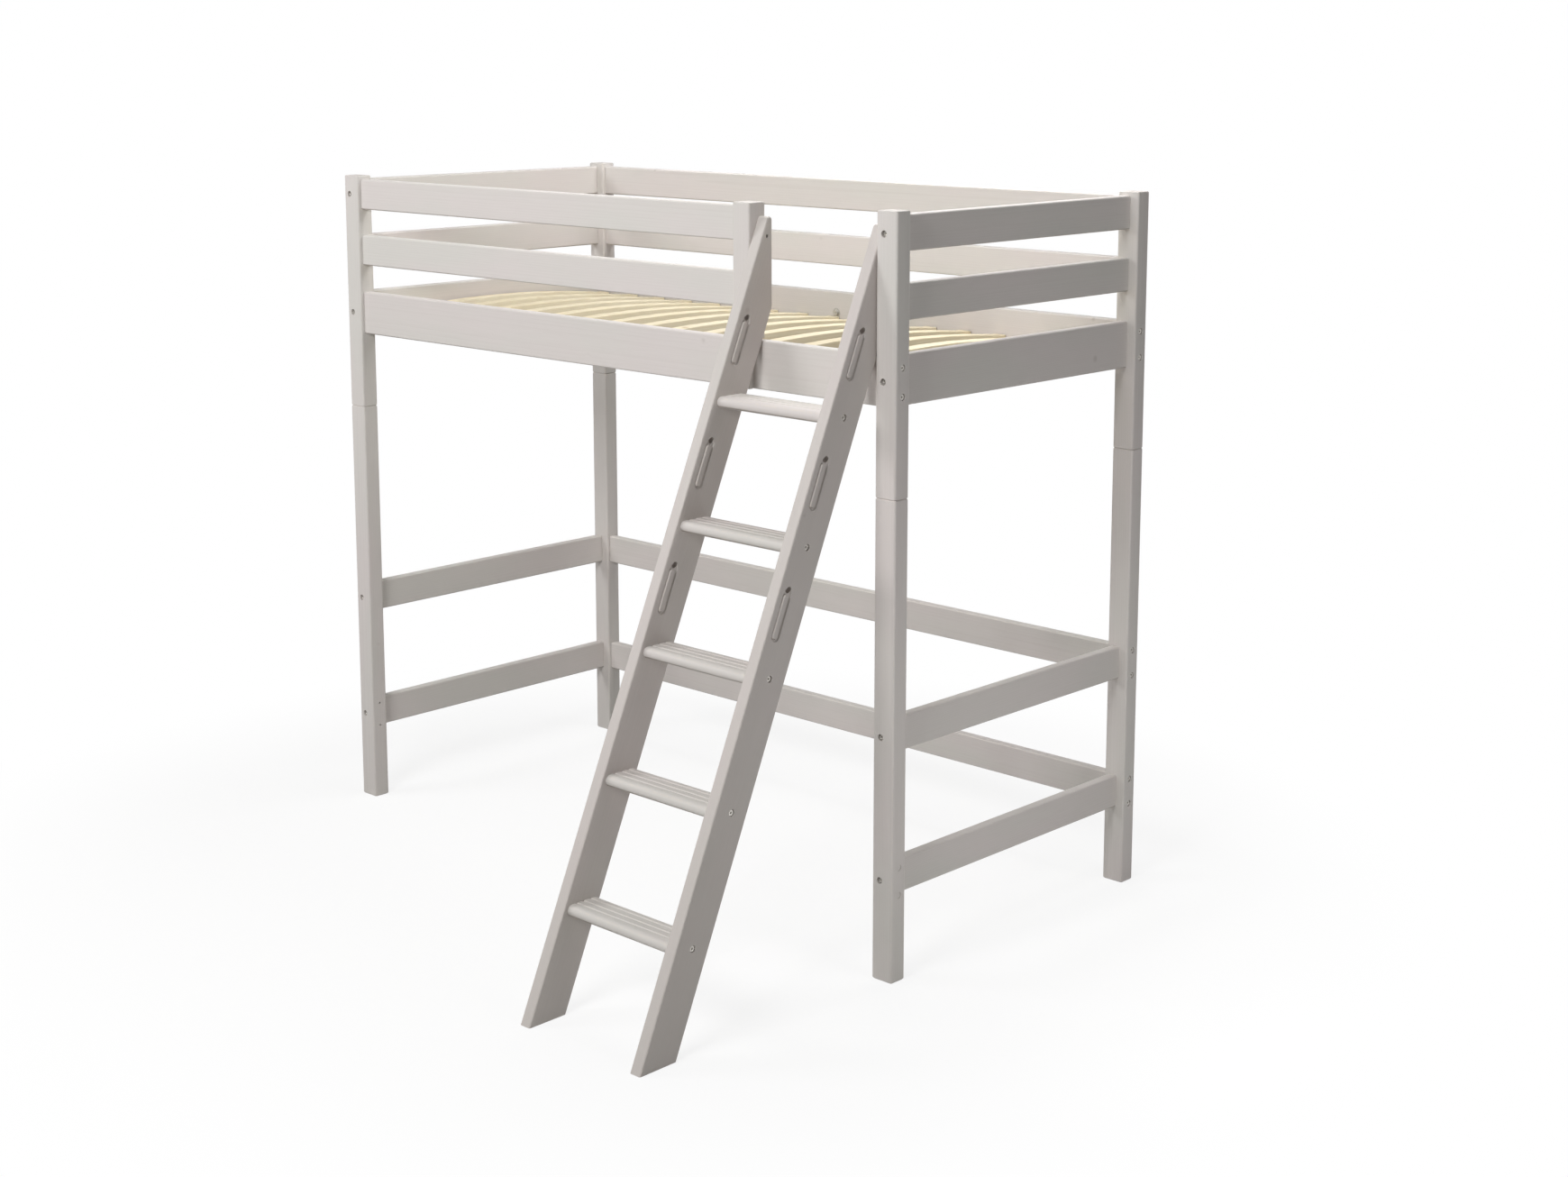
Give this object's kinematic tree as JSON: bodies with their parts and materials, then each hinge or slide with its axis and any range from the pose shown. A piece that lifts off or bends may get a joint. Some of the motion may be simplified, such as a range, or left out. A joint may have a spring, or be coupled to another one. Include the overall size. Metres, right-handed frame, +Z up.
{
  "type": "loft bed",
  "caption": "High single bed of washed pine with guard rails, a leaning ladder and a slatted base, open underneath.",
  "frame": {"origin": "on the floor under the middle of the whole object, ladder included", "axes": "+X along the bed, the ladder near the +X end, +Y from the ladder side to the wall side, +Z up"},
  "size_m": [2.1, 1.7516, 1.847],
  "materials": {
    "washed_pine": "matte",
    "raw_pine": "matte",
    "beech": "matte",
    "steel": "satin"
  },
  "bodies": {
    "root": {"back_bed_rail": "washed_pine", "back_foot_rail": "washed_pine", "back_left_lower_post": "washed_pine", "back_left_post_pin": "beech", "back_left_upper_post": "washed_pine", "back_lower_rail": "washed_pine", "back_middle_guard_rail": "washed_pine", "back_right_lower_post": "washed_pine", "back_right_post_pin": "beech", "back_right_upper_post": "washed_pine", "back_slat_batten": "raw_pine", "back_top_guard_rail": "washed_pine", "front_bed_rail": "washed_pine", "front_left_lower_post": "washed_pine", "front_left_post_pin": "beech", "front_left_upper_post": "washed_pine", "front_middle_guard_rail": "washed_pine", "front_right_lower_post": "washed_pine", "front_right_post_pin": "beech", "front_right_upper_post": "washed_pine", "front_slat_batten": "raw_pine", "front_top_guard_rail": "washed_pine", "guard_rail_stile": "washed_pine", "left_end_board": "washed_pine", "left_end_foot_rail": "washed_pine", "left_end_lower_rail": "washed_pine", "left_end_middle_rail": "washed_pine", "left_end_top_rail": "washed_pine", "left_ladder_bolt": "steel", "left_stringer": "washed_pine", "right_end_board": "washed_pine", "right_end_foot_rail": "washed_pine", "right_end_lower_rail": "washed_pine", "right_end_middle_rail": "washed_pine", "right_end_top_rail": "washed_pine", "right_ladder_bolt": "steel", "right_stringer": "washed_pine", "slat_01": "raw_pine", "slat_02": "raw_pine", "slat_03": "raw_pine", "slat_04": "raw_pine", "slat_05": "raw_pine", "slat_06": "raw_pine", "slat_07": "raw_pine", "slat_08": "raw_pine", "slat_09": "raw_pine", "slat_10": "raw_pine", "slat_11": "raw_pine", "slat_12": "raw_pine", "slat_13": "raw_pine", "slat_14": "raw_pine", "slat_15": "raw_pine", "slat_16": "raw_pine", "slat_17": "raw_pine", "tread_1": "washed_pine", "tread_2": "washed_pine", "tread_3": "washed_pine", "tread_4": "washed_pine", "tread_5": "washed_pine"}
  },
  "joints": []
}
